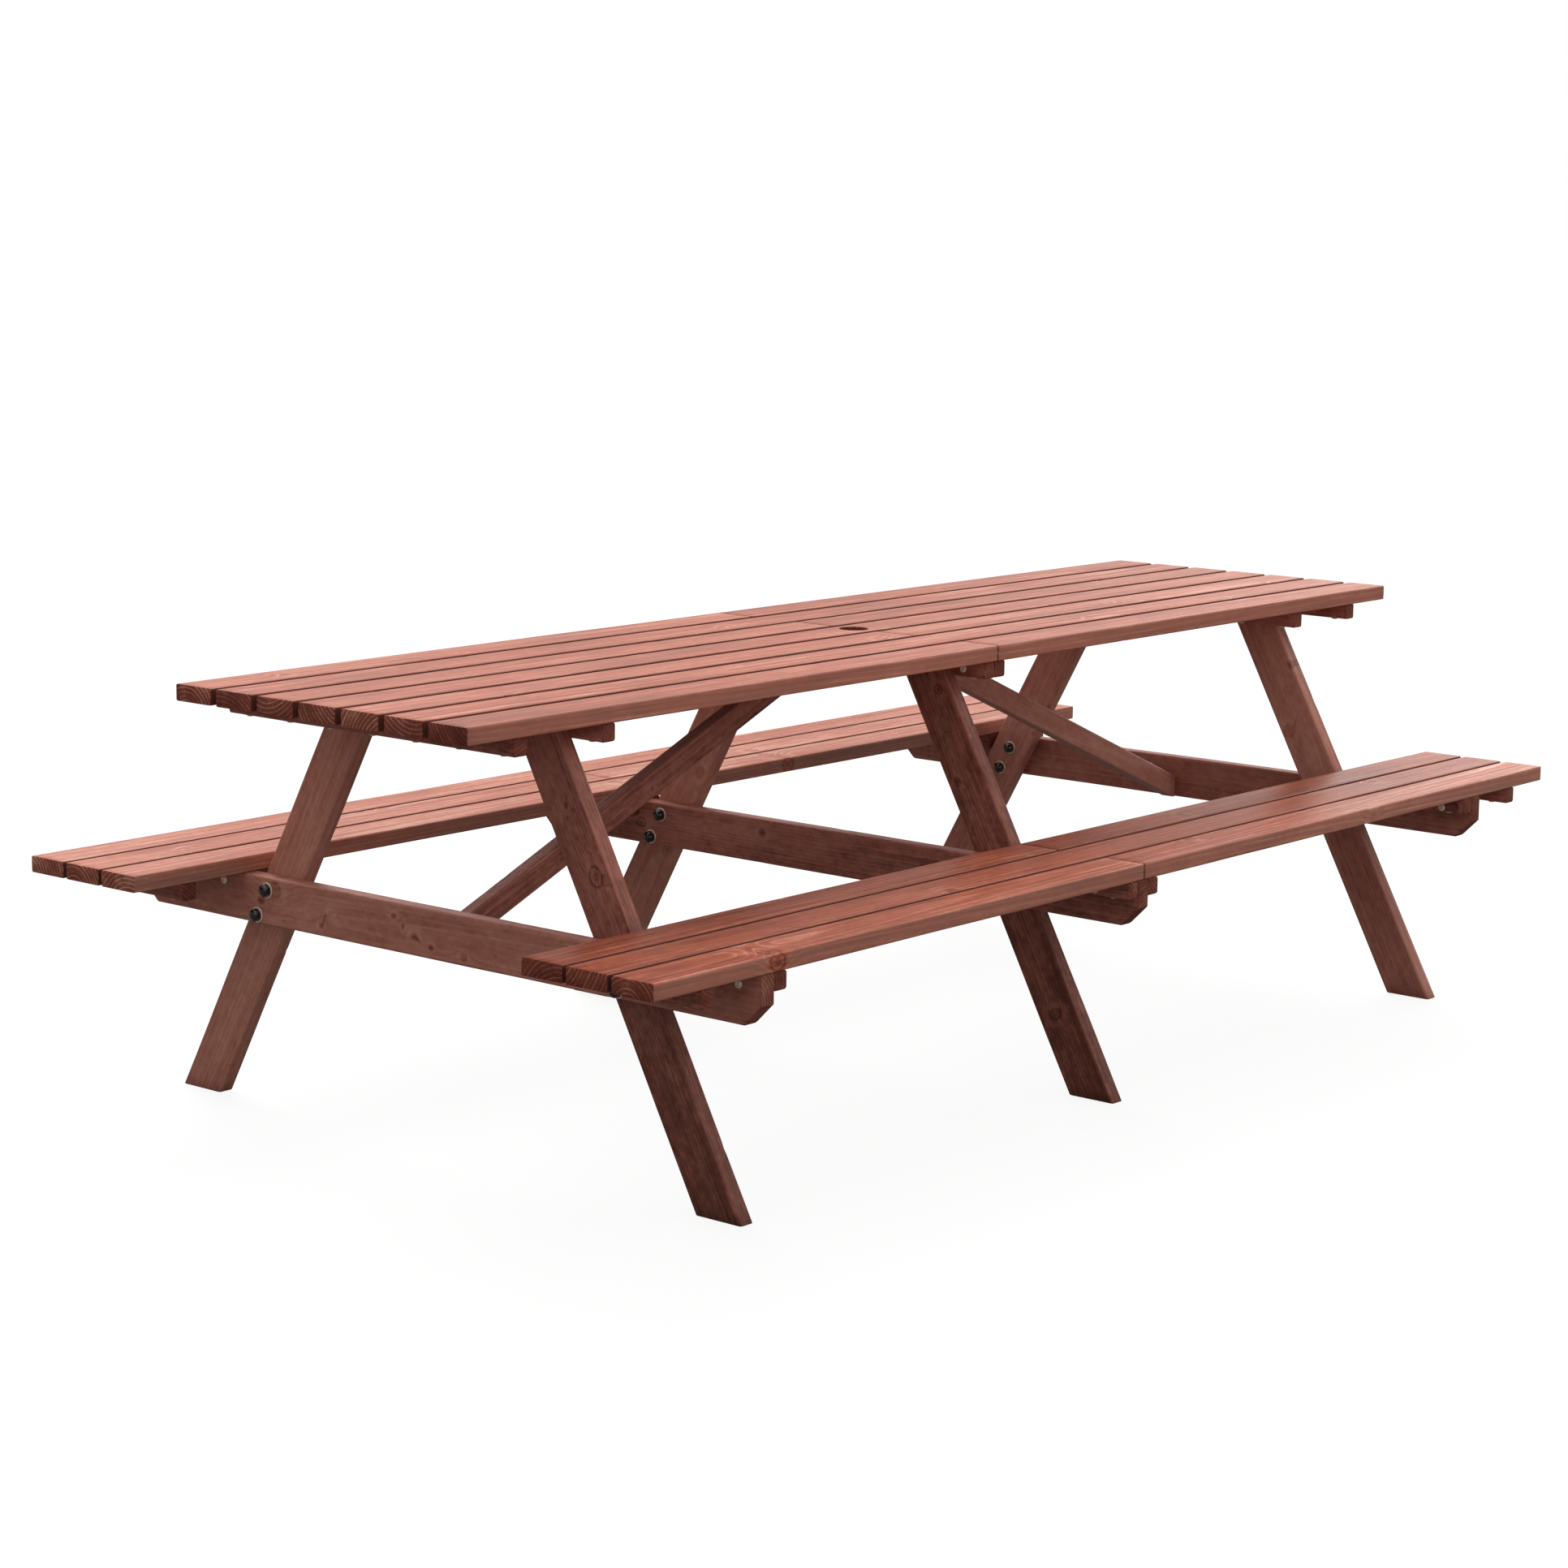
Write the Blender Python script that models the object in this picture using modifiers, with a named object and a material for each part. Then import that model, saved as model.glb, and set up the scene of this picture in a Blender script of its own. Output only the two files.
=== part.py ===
"""Picnic table: a slatted top and two slatted benches on three bolted A-frames.

Metres, +Z up. X runs along the table and Y across it, with the front bench at -Y. The
origin is on the ground under the middle of the top. Nothing on the table moves.
"""

import math

import bmesh
import bpy
from mathutils import Matrix, Vector

# Driving dimensions
LENGTH = 2.630  # of the top and of both benches
TOP_HEIGHT = 0.760
SEAT_HEIGHT = 0.432
SLAT_WIDTH = 0.082
SLAT_THICKNESS = 0.028
TOP_ROWS = 7
TOP_GAP = 0.0125  # between two rows of the top
SEAT_GAP = 0.0075  # between two rows of a bench
SEAT_INNER_EDGE = 0.435  # from the table's centre line
BUTT_GAP = 0.0016  # between two slats that meet end to end
EDGE = 0.003  # eased long edges
FIT = 0.0003  # left between two pieces that touch

TIMBER = 0.030  # thickness of each frame member, and both sides of a cleat or batten
BOARD = 0.082  # width of the legs and crossbeams
LEG_SLOPE = 0.540  # run across the table for each metre of height
FOOT_OUTER = 0.636  # outer edge of a foot, from the centre line
BEAM_HALF = 0.695
BEAM_CHAMFER = 0.034
CLEAT_HALF = 0.318
BATTEN_ENDS = (0.4375, 0.694)  # from the centre line
END_LEG = 1.014  # inner face of an end frame's legs, from the middle
OUTRIGGER = 1.180  # inner face of the outermost cleats and battens, from the middle

BRACE_DEPTH = 0.043
BRACE_SLOPE = 0.4135  # fall for each metre along the table
BRACE_RIDGE = 0.797  # height where the upper edges of both braces would meet

UMBRELLA_HOLE = 0.052
UMBRELLA_SIDES = 32

BOLT_SIZE = 0.008
BOLT_SPACING = 0.045  # between the two bolts of one joint, up the leg
BOLT_SIDES = 12
HEAD_RADIUS, HEAD_RISE = 0.011, 0.014  # a tall round cap
WASHER_RADIUS, WASHER_THICKNESS = 0.012, 0.0016
NUT_ACROSS_FLATS, NUT_HEIGHT = 0.0165, 0.0115
NUT_TAPER_FROM = 0.6  # share of the cap nut's height where its crown begins
NUT_CROWN = 0.62  # size of the crown's flat, as a share of the nut's

# What follows from them
TOP_UNDERSIDE = TOP_HEIGHT - SLAT_THICKNESS
SEAT_UNDERSIDE = SEAT_HEIGHT - SLAT_THICKNESS
BEAM_MIDDLE = SEAT_UNDERSIDE - BOARD / 2
SEAT_BUTT = -2.5 * TIMBER  # over the middle crossbeam
LEG_CUT = BOARD * math.hypot(1, LEG_SLOPE)  # a leg's width on a level cut
BRACE_DROP = BRACE_DEPTH * math.hypot(1, BRACE_SLOPE)  # the brace's depth on a plumb cut

# The lower X of each frame's legs and of its crossbeam, which stand side by side
FRAMES = {
    "left": (-END_LEG - TIMBER, -END_LEG - 2 * TIMBER),
    "middle": (-2 * TIMBER, -3 * TIMBER),
    "right": (END_LEG, END_LEG + TIMBER),
}
# The lower X of each cleat under the top
CLEATS = {
    "left_outer": -OUTRIGGER - TIMBER,
    "left_inner": -END_LEG,
    "middle_left": -TIMBER,
    "middle_right": 0.0,
    "right_inner": END_LEG - TIMBER,
    "right_outer": OUTRIGGER,
}
# The lower X of each batten under both benches
BATTENS = {
    "left_outer": -OUTRIGGER - TIMBER,
    "left_inner": -END_LEG - TIMBER,
    "middle_left": -4 * TIMBER,
    "middle_right": -2 * TIMBER,
    "right_inner": END_LEG,
    "right_outer": OUTRIGGER,
}


def clear_scene():
    for thing in list(bpy.data.objects):
        bpy.data.objects.remove(thing, do_unlink=True)


def new_collection(name):
    group = bpy.data.collections.new(name)
    bpy.context.scene.collection.children.link(group)
    return group


def material(name, colour, roughness, metallic=0.0):
    made = bpy.data.materials.new(name)
    made.use_nodes = True
    shader = made.node_tree.nodes["Principled BSDF"]
    shader.inputs["Base Color"].default_value = colour
    shader.inputs["Roughness"].default_value = roughness
    shader.inputs["Metallic"].default_value = metallic
    return made


def add_object(name, mesh, group, surface=None):
    made = bpy.data.objects.new(name, mesh)
    group.objects.link(made)
    if surface and not mesh.materials:
        mesh.materials.append(surface)
    return made


def mesh_of(name, bm):
    mesh = bpy.data.meshes.new(name)
    bmesh.ops.recalc_face_normals(bm, faces=bm.faces)
    bm.to_mesh(mesh)
    bm.free()
    return mesh


def evaluated_mesh(thing):
    bpy.context.view_layer.update()
    seen = thing.evaluated_get(bpy.context.evaluated_depsgraph_get())
    return bpy.data.meshes.new_from_object(seen)


def boolean(piece, cutter, operation):
    """Joins the cutter to the piece or cuts it out, and hides the cutter."""
    cutter.hide_render = True
    cutter.display_type = "WIRE"
    step = piece.modifiers.new(cutter.name, "BOOLEAN")
    step.operation = operation
    step.solver = "EXACT"
    step.object = cutter


# ---------------------------------------------------------------- timber

def block(size):
    """A box of the given size, centred on the origin."""
    bm = bmesh.new()
    bmesh.ops.create_cube(bm, size=1.0)
    bmesh.ops.scale(bm, vec=size, verts=bm.verts)
    return bm


def ease_long_edges(bm, axis):
    """Bevels the edges that run the piece's length, along X, Y or Z (axis 0, 1 or 2)."""
    runs = {e: abs(e.verts[0].co[axis] - e.verts[1].co[axis]) for e in bm.edges}
    longest = max(runs.values())
    edges = [e for e, run in runs.items() if run > 0.6 * longest]
    bmesh.ops.bevel(bm, geom=edges, offset=EDGE, segments=1, profile=0.5, affect="EDGES")


def slat(name, x_ends, y_middle, top):
    bm = block((x_ends[1] - x_ends[0], SLAT_WIDTH, SLAT_THICKNESS))
    ease_long_edges(bm, 0)
    made = add_object(name, mesh_of(name, bm), PARTS, TOP_WOOD)
    made.location = (sum(x_ends) / 2, y_middle, top - SLAT_THICKNESS / 2)


def slat_row(name, y_middle, top, butt=None):
    """One row of slats, whole or as two pieces that meet at the butt joint."""
    if butt is None:
        slat(name, (-LENGTH / 2, LENGTH / 2), y_middle, top)
        return
    slat(name + "_left", (-LENGTH / 2, butt - BUTT_GAP / 2), y_middle, top)
    slat(name + "_right", (butt + BUTT_GAP / 2, LENGTH / 2), y_middle, top)


def stick(name, x_low, y_ends, underside):
    """A square stick across the table, against the underside of the slats."""
    side = TIMBER - FIT
    bm = block((side, y_ends[1] - y_ends[0], side))
    ease_long_edges(bm, 1)
    made = add_object(name, mesh_of(name, bm), PARTS, FRAME_WOOD)
    made.location = (x_low + TIMBER / 2, sum(y_ends) / 2, underside - FIT - side / 2)


def leg(name, x_low, side):
    """A sloping leg, cut level at the ground and under the top. side is -1 or 1 in Y."""
    height = TOP_UNDERSIDE - FIT
    bm = block((TIMBER - FIT, LEG_CUT, height))
    for vert in bm.verts:
        vert.co.y -= side * LEG_SLOPE * vert.co.z
    ease_long_edges(bm, 2)
    made = add_object(name, mesh_of(name, bm), PARTS, FRAME_WOOD)
    made.location = (x_low + TIMBER / 2, side * leg_middle(height / 2), height / 2)


def leg_middle(height):
    """How far a leg's centre line is from the table's, at a height."""
    return FOOT_OUTER - LEG_CUT / 2 - LEG_SLOPE * height


def crossbeam(name, x_low):
    """A board on edge with its two lower corners cut off."""
    depth = BOARD - FIT
    bm = block((TIMBER - FIT, 2 * BEAM_HALF, depth))
    corners = [e for e in bm.edges if all(v.co.z < 0 for v in e.verts)
               and e.verts[0].co.y == e.verts[1].co.y]
    bmesh.ops.bevel(bm, geom=corners, offset=BEAM_CHAMFER, segments=1, affect="EDGES")
    ease_long_edges(bm, 1)
    made = add_object(name, mesh_of(name, bm), PARTS, FRAME_WOOD)
    made.location = (x_low + TIMBER / 2, 0, SEAT_UNDERSIDE - FIT - depth / 2)


def brace(name, side):
    """A diagonal stick from an end crossbeam up to the middle of the top."""
    roof = TOP_UNDERSIDE - FIT
    floor = SEAT_UNDERSIDE - BOARD
    far = END_LEG + TIMBER - FIT
    outline = [
        ((BRACE_RIDGE - BRACE_DROP - roof) / BRACE_SLOPE, roof),
        ((BRACE_RIDGE - BRACE_DROP - floor) / BRACE_SLOPE, floor),
        (far, floor),
        (far, BRACE_RIDGE - BRACE_SLOPE * far),
        ((BRACE_RIDGE - roof) / BRACE_SLOPE, roof),
    ]
    curve = bpy.data.curves.new(name, "CURVE")
    curve.dimensions = "2D"
    curve.fill_mode = "BOTH"
    curve.extrude = TIMBER / 2
    line = curve.splines.new("POLY")
    line.points.add(len(outline) - 1)
    for point, (x, z) in zip(line.points, outline):
        point.co = (side * x, z, 0, 1)
    line.use_cyclic_u = True
    drawn = bpy.data.objects.new(name + "_outline", curve)
    CUTTERS.objects.link(drawn)
    drawn.rotation_euler.x = math.pi / 2  # the outline's Y becomes height
    mesh = evaluated_mesh(drawn)
    bm = bmesh.new()
    bm.from_mesh(mesh)
    bmesh.ops.remove_doubles(bm, verts=bm.verts, dist=0.00005)
    made = add_object(name, mesh_of(name, bm), PARTS, FRAME_WOOD)
    made.matrix_world = drawn.matrix_world
    bpy.data.objects.remove(drawn, do_unlink=True)


# ---------------------------------------------------------------- bolts

def bolt_profile(grip):
    """The bolt and its washer, half in section: head up, shank down the grip."""
    shank = BOLT_SIZE / 2
    washer = -grip - FIT
    return [
        (0, HEAD_RISE + FIT),
        (0.48 * HEAD_RADIUS, 0.92 * HEAD_RISE + FIT),
        (0.84 * HEAD_RADIUS, 0.72 * HEAD_RISE + FIT),
        (HEAD_RADIUS, 0.38 * HEAD_RISE + FIT),
        (HEAD_RADIUS, FIT),
        (shank, FIT),
        (shank, washer),
        (WASHER_RADIUS, washer),
        (WASHER_RADIUS, washer - WASHER_THICKNESS),
        (0, washer - WASHER_THICKNESS),
    ]


def turned(name, profile):
    """A profile in XZ, turned round Z."""
    bm = bmesh.new()
    points = [bm.verts.new((x, 0, z)) for x, z in profile]
    for first, second in zip(points, points[1:]):
        bm.edges.new((first, second))
    mesh = bpy.data.meshes.new(name)
    bm.to_mesh(mesh)
    bm.free()
    made = add_object(name, mesh, CUTTERS)
    spin = made.modifiers.new("turn", "SCREW")
    spin.steps = spin.render_steps = BOLT_SIDES
    spin.use_merge_vertices = True
    spin.merge_threshold = 0.00001
    return made


def cap_nut(name, seat):
    """A hexagonal nut with a tapered crown, hanging from the height of its seat."""
    radius = NUT_ACROSS_FLATS / math.sqrt(3)
    straight = NUT_TAPER_FROM * NUT_HEIGHT
    crown = NUT_HEIGHT - straight
    bm = bmesh.new()
    body = Matrix.Translation((0, 0, seat - straight / 2))
    bmesh.ops.create_cone(bm, cap_ends=True, segments=6, radius1=radius, radius2=radius,
                          depth=straight, matrix=body)
    lower = [f for f in bm.faces if f.normal.z < -0.9]
    grown = bmesh.ops.extrude_face_region(bm, geom=lower)["geom"]
    bmesh.ops.delete(bm, geom=lower, context="FACES_ONLY")
    for vert in (v for v in grown if isinstance(v, bmesh.types.BMVert)):
        vert.co.x *= NUT_CROWN
        vert.co.y *= NUT_CROWN
        vert.co.z -= crown
    return add_object(name, mesh_of(name, bm), CUTTERS)


def bolt_mesh():
    """A carriage bolt with its washer and cap nut run tight, as one solid."""
    grip = 2 * TIMBER
    shaft = turned("bolt_shaft", bolt_profile(grip))
    nut = cap_nut("bolt_nut", -grip - FIT - WASHER_THICKNESS / 2)
    boolean(shaft, nut, "UNION")
    mesh = evaluated_mesh(shaft)
    mesh.name = "carriage_bolt"
    bpy.data.objects.remove(shaft, do_unlink=True)
    bpy.data.objects.remove(nut, do_unlink=True)
    return mesh


def drilled(piece, place, low, high, radius, sides):
    """Cuts a round hole from low to high along the Z axis of a place."""
    bm = bmesh.new()
    middle = place @ Matrix.Translation((0, 0, (low + high) / 2))
    bmesh.ops.create_cone(bm, cap_ends=True, segments=sides, radius1=radius,
                          radius2=radius, depth=high - low, matrix=middle)
    count = len(CUTTERS.objects)
    cutter = add_object(f"hole_{count}", mesh_of("hole", bm), CUTTERS)
    boolean(piece, cutter, "DIFFERENCE")


def bolt_joint(frame, side, head_x, way, mesh):
    """Two bolts through a leg and its crossbeam. way is the bolt's direction in X."""
    end = "front" if side < 0 else "back"
    through = (f"{frame}_{end}_leg", f"{frame}_crossbeam")
    for level, rise in (("upper", BOLT_SPACING / 2), ("lower", -BOLT_SPACING / 2)):
        z = BEAM_MIDDLE - 0.004 + rise
        bolt = add_object(f"{frame}_{end}_{level}_bolt", mesh, PARTS, BLACK_STEEL)
        bolt.location = (head_x, side * leg_middle(z), z)
        bolt.rotation_euler.y = -way * math.pi / 2
        bpy.context.view_layer.update()
        for name in through:
            drilled(bpy.data.objects[name], bolt.matrix_world, -2.5 * TIMBER, TIMBER / 2,
                    BOLT_SIZE / 2 + FIT, BOLT_SIDES)


# ---------------------------------------------------------------- the table

def build_top():
    pitch = SLAT_WIDTH + TOP_GAP
    for row in range(TOP_ROWS):
        y = (row - (TOP_ROWS - 1) / 2) * pitch
        slat_row(f"top_slat_{row + 1}", y, TOP_HEIGHT, 0.0 if row % 2 == 0 else None)
    for name, x in CLEATS.items():
        stick(name + "_cleat", x, (-CLEAT_HALF, CLEAT_HALF), TOP_UNDERSIDE)


def build_bench(bench, side, jointed):
    """One bench; jointed names the rows that are in two pieces."""
    for number, row in enumerate(("inner", "middle", "outer")):
        y = SEAT_INNER_EDGE + SLAT_WIDTH / 2 + number * (SLAT_WIDTH + SEAT_GAP)
        slat_row(f"{bench}_seat_slat_{row}", side * y, SEAT_HEIGHT,
                 SEAT_BUTT if row in jointed else None)
    for name, x in BATTENS.items():
        stick(f"{bench}_{name}_batten", x, sorted(side * y for y in BATTEN_ENDS),
              SEAT_UNDERSIDE)


def build_frames():
    for frame, (leg_x, beam_x) in FRAMES.items():
        leg(frame + "_front_leg", leg_x, -1)
        leg(frame + "_back_leg", leg_x, 1)
        crossbeam(frame + "_crossbeam", beam_x)
    brace("left_brace", -1)
    brace("right_brace", 1)


def build_bolts():
    mesh = bolt_mesh()
    for frame, places in FRAMES.items():
        low, high = min(places), max(places) + TIMBER
        # the left frame's nuts are at its outer side, the other frames' nuts at +X
        head_x, way = (high, -1) if frame == "left" else (low, 1)
        for side in (-1, 1):
            bolt_joint(frame, side, head_x, way, mesh)


def drill_for_umbrella():
    middle_slat = f"top_slat_{(TOP_ROWS + 1) // 2}"
    for name in (middle_slat, "middle_left_cleat", "middle_right_cleat"):
        drilled(bpy.data.objects[name], Matrix.Identity(4), TOP_HEIGHT - 0.1,
                TOP_HEIGHT + 0.02, UMBRELLA_HOLE / 2, UMBRELLA_SIDES)


clear_scene()
PARTS = new_collection("picnic_table")
CUTTERS = new_collection("cutters")
TOP_WOOD = material("stained_wood", (0.40, 0.15, 0.10, 1.0), 0.60)
FRAME_WOOD = material("stained_frame_wood", (0.26, 0.10, 0.065, 1.0), 0.65)
BLACK_STEEL = material("black_steel", (0.015, 0.015, 0.016, 1.0), 0.25, 1.0)

build_top()
build_bench("front", -1, ("inner", "outer"))
build_bench("back", 1, ())
build_frames()
build_bolts()
drill_for_umbrella()
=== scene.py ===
"""Looks of the picnic table: stained softwood boards, black bolt caps and zinc screws.

Every timber of the CAD model is stood for by a board with worn, rounded edges and a wood
material that follows the log it was sawn from. Metres, +Z up, in the CAD model's frame.
"""

import math
import random

import bmesh
import bpy
import numpy as np
from mathutils import Matrix, Vector, noise


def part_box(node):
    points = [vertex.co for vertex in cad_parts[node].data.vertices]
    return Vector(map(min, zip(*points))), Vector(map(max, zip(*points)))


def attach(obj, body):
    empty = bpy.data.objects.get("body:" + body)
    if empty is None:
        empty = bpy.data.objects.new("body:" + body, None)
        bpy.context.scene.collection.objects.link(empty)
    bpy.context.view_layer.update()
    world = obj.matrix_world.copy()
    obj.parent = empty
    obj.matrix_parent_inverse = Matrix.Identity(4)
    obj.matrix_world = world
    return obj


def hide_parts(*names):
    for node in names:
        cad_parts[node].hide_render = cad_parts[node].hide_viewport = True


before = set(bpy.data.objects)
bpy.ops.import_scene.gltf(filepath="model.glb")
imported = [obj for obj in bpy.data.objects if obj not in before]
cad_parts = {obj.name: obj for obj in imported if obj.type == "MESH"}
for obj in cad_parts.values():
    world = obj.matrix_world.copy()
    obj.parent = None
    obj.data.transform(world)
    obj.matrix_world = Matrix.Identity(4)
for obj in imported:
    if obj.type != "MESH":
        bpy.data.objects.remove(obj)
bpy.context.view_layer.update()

ALONG_X, ALONG_Y, UP = (1, 0, 0), (0, 1, 0), (0, 0, 1)

# Sizes repeated from the CAD
LEG_SLOPE = 0.540
BRACE_SLOPE = 0.4135
BRACE_RIDGE = 0.797  # height where the upper edges of both braces would meet
BRACE_DEPTH = 0.043
BEAM_CHAMFER = 0.034
UMBRELLA_HOLE = 0.052
SEAT_BUTT = -0.075  # joint in the middle row of the back bench
BUTT_GAP = 0.0016
BOLT_RISES = {"upper": 0.3815, "lower": 0.3365}

FRAMES = ("left", "middle", "right")
STICKS = ("left_outer", "left_inner", "middle_left", "middle_right", "right_inner",
          "right_outer")

# Wear and shape of the boards
SLAT_EDGE, FRAME_EDGE = 0.0026, 0.0038  # usual radius of a long edge
EDGE_VARIES = 0.35  # share by which that radius changes along a board
END_EASE = 0.0015  # radius round a sawn end
STATION = 0.022  # between two sections of a board
SUPPORT = 0.0008  # flat kept beside each rounded edge
ARC_STEPS = 3
WAVE = 0.0004  # how much a face wanders inwards
WAVES_PER_METRE = 1.7
DENTS_PER_METRE = 2.5
DENT_REACH, DENT_DEPTH = (0.004, 0.014), (0.0006, 0.0024)
DENT_STATIONS = (-1.6, -0.8, 0, 0.8, 1.6)  # sections across a dent, in its reach
LEG_INNER = (-0.012, 0.012)  # lines kept along a leg's faces
HOLE_FLARE, HOLE_FLARE_DEEP = 0.0016, 0.0022  # round the upper edge of the umbrella hole

# Where the pith of a board's log lies: under it, beside it, and how it runs off
PITH_BELOW, PITH_BESIDE = (0.003, 0.060), (0.0, 0.085)
PITH_TILT, PITH_LEAN = (0.003, 0.016), 0.006
PITH_NEAREST = 0.004
LOG_LENGTH = 40  # boards start anywhere along it
END_KNOWN = 0.08  # how far from an end its distance is still told
SLAT_HALF = 0.0145  # half the thickness below which a board is a slat

# Wood: its colours, and how boards differ
KNOT_ALONG, KNOT_ROUND = 2.1, 1.6  # knot cells in a metre of log and in a radian
KNOT_CHANCE = 0.24  # share of the cells that hold a knot
KNOT_SMALLEST, KNOT_RANGE = 0.0025, 0.0075
BOARD_TONE = 0.07  # how far boards differ, either way
GRIME, GRIME_ON_SIDES, GRIME_COLOUR = 0.19, 0.50, (0.165, 0.108, 0.092)
# painted shade: a dark colour on the slat faces in the gaps between slats and inside the
# umbrella hole
RECESS_SHADE_STRENGTH, RECESS_SHADE_COLOUR = 0.90, (0.072, 0.014, 0.008)
GAP_SHADE_DEPTH = 0.0014  # the depth in a gap at which the painted shade is full
NARROW_FACE_LIGHT_COLOUR = (0.440, 0.225, 0.175)  # painted light: a paler colour on the narrow faces
SLAT_STOPS = ((0.0, (0.120, 0.030, 0.016)), (0.28, (0.300, 0.077, 0.042)),
              (0.50, (0.455, 0.118, 0.064)), (0.72, (0.610, 0.196, 0.120)),
              (1.0, (0.780, 0.430, 0.320)))
FRAME_STOPS = ((0.0, (0.080, 0.024, 0.016)), (0.28, (0.200, 0.062, 0.042)),
               (0.50, (0.382, 0.134, 0.096)), (0.72, (0.510, 0.200, 0.148)),
               (1.0, (0.610, 0.290, 0.215)))
SLAT_END = ((0.110, 0.022, 0.012), (0.255, 0.060, 0.036), (0.660, 0.340, 0.245))
FRAME_END = ((0.085, 0.020, 0.012), (0.215, 0.056, 0.034), (0.430, 0.190, 0.130))
TONES_WITH_PAINTED_LIGHT_AND_SHADE = {  # boards darker or paler than the rest, at their start and at their end. Besides each board's own tone, the darker front seat is painted shade of the table top, and the paler back seat and right and back legs are painted light
    "left_front_leg": (-0.28, 0.0), "middle_front_leg": (-0.24, -0.16),
    "right_front_leg": (0.10, 0.27), "left_back_leg": (0.12, 0.32),
    "middle_back_leg": (0.18, 0.24), "right_back_leg": (0.10, 0.15),
    "left_crossbeam": (0.11, 0.15), "middle_crossbeam": (0.0, 0.0),
    "right_crossbeam": (0.10, 0.10), "left_brace": (-0.08, -0.08),
    "right_brace": (0.20, 0.20), "front_seat_slat_outer_left": (-0.18, -0.08),
    "front_seat_slat_outer_right": (-0.02, 0.12), "front_seat": (-0.15, -0.12),
    "back_seat": (0.15, 0.10), "top_slat_1_left": (-0.20, 0.04),
}
# Large knots: place along the board, across it and through it, the turn of the knot's axis
# from across (0) to through (90 degrees), and its radius
KNOTS = {
    "front_seat_slat_outer_left": ((-0.342, -0.041, 0.002, 25, 0.013),),
    "back_seat_slat_inner": ((0.344, -0.041, 0.000, 20, 0.012),),
    "middle_front_leg": ((0.764, 0.015, 0.0, 90, 0.007), (0.602, -0.019, 0.0, 90, 0.006)),
    "left_front_leg": ((0.560, 0.011, 0.0, 90, 0.012),),
    "middle_crossbeam": ((0.432, -0.002, 0.0, 90, 0.008), (0.135, 0.016, 0.0, 90, 0.006)),
    "middle_back_leg": ((0.364, -0.027, 0.0, 90, 0.009),),
    "right_front_leg": ((0.690, 0.036, 0.0, 90, 0.006),),
    "left_crossbeam": ((0.244, 0.011, 0.0, 90, 0.005), (0.251, -0.021, 0.0, 90, 0.005),
                       (0.082, 0.019, 0.0, 90, 0.004), (0.035, -0.009, 0.0, 90, 0.005),
                       (-0.003, -0.022, 0.0, 90, 0.004), (0.398, -0.001, 0.0, 90, 0.006)),
}

# Noise in the wood: features in a metre along the log and across it, detail and roughness
WOOD_NOISE = {
    "fibre": (7, 330, 3.0, 0.6), "mottle": (60, 95, 2.0, 0.6),
    "streak": (1.1, 75, 3.0, 0.55), "strand": (3.2, 150, 2.0, 0.6),
    "hair": (5, 210, 2.0, 0.6), "spot": (34, 75, 3.0, 0.65),
    "spotted_part": (3.0, 9, 2.0, 0.5), "stain": (2.4, 11, 3.0, 0.55),
    "blotch": (14, 26, 3.0, 0.6), "rubbed": (9, 60, 3.0, 0.65),
    "chip": (55, 170, 2.0, 0.6), "speck": (110, 260, 1.0, 0.5),
    "grimy": (1.3, 24, 4.0, 0.6), "grain": (160, 420, 2.0, 0.6),
    "bend": (0.9, 7, 2.0, 0.5), "ripple": (6, 45, 2.0, 0.5),
    "knot_shape": (30, 90, 2.0, 0.5), "knob_shape": (28, 75, 2.0, 0.5),
}
# What each mark adds to the tone of a face and of a sawn end. 0.5 is a plain board
FACE_TONE = {
    "stain": 0.50, "board": 1.0, "knob": 1.0, "wear": 0.09, "chips": 0.22, "specks": 0.22,
    "knot_rim": -0.20, "knot_core": -0.09, "knot_halo": 0.12, "soaked": -0.07,
}
GRAIN_TONE = {"late": 0.14, "lines": 0.09, "fibre": 0.66, "hair": -0.11}
END_TONE = {"late": 0.12, "lines": 0.20, "grain": 0.6, "blotch": 0.9, "board": 0.9,
            "specks": 0.5}
END_PLAIN = 0.45
GLOSS = {"late": -0.07, "blotch": 0.14, "wear": 0.08, "sawn": 0.18, "painted_recess_shade": 0.35}
RELIEF = {"late": 0.35, "fibre": 0.8, "knot_core": 0.5, "streak": 0.5, "chips": -0.6}
WOOD_KINDS = {
    "stained_wood": dict(
        stops=SLAT_STOPS, end_colour=SLAT_END, ring=0.0072, roughness=0.42, specular=0.22,
        spotted=0.10, narrow_face_light=0.50, banded=1.0, streaky=0.50, blotchy=0.32),
    "stained_frame_wood": dict(
        stops=FRAME_STOPS, end_colour=FRAME_END, ring=0.0060, roughness=0.50, specular=0.24,
        spotted=0.26, narrow_face_light=0.10, banded=0.55, streaky=0.24, blotchy=0.46),
}
DUST = (0.30, 0.24, 0.20)

# Hardware: profiles of (radius, height, number of flats or 0), in millimetres
DOME = ((3.9, 0.0, 0), (10.7, 0.0, 0), (11.2, 0.4, 0), (11.2, 1.1, 0), (10.6, 1.6, 0),
        (11.0, 4.0, 0), (10.9, 6.2, 0), (10.2, 8.7, 0), (8.7, 11.0, 0), (6.4, 12.9, 0),
        (3.5, 14.0, 0), (0.6, 14.3, 0))
NUT_CAP = ((3.9, 0.0, 0), (10.8, 0.0, 0), (11.2, 0.4, 0), (11.1, 1.6, 0), (10.1, 2.2, 6),
           (9.9, 5.6, 6), (9.6, 7.6, 6), (8.8, 9.4, 0), (6.6, 10.8, 0), (3.6, 11.4, 0),
           (0.6, 11.5, 0))
WASHER = ((4.3, 0.0, 0), (12.9, 0.0, 0), (13.3, 0.3, 0), (13.3, 1.1, 0), (12.9, 1.5, 0),
          (9.0, 1.6, 0), (4.3, 1.6, 0))
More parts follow.
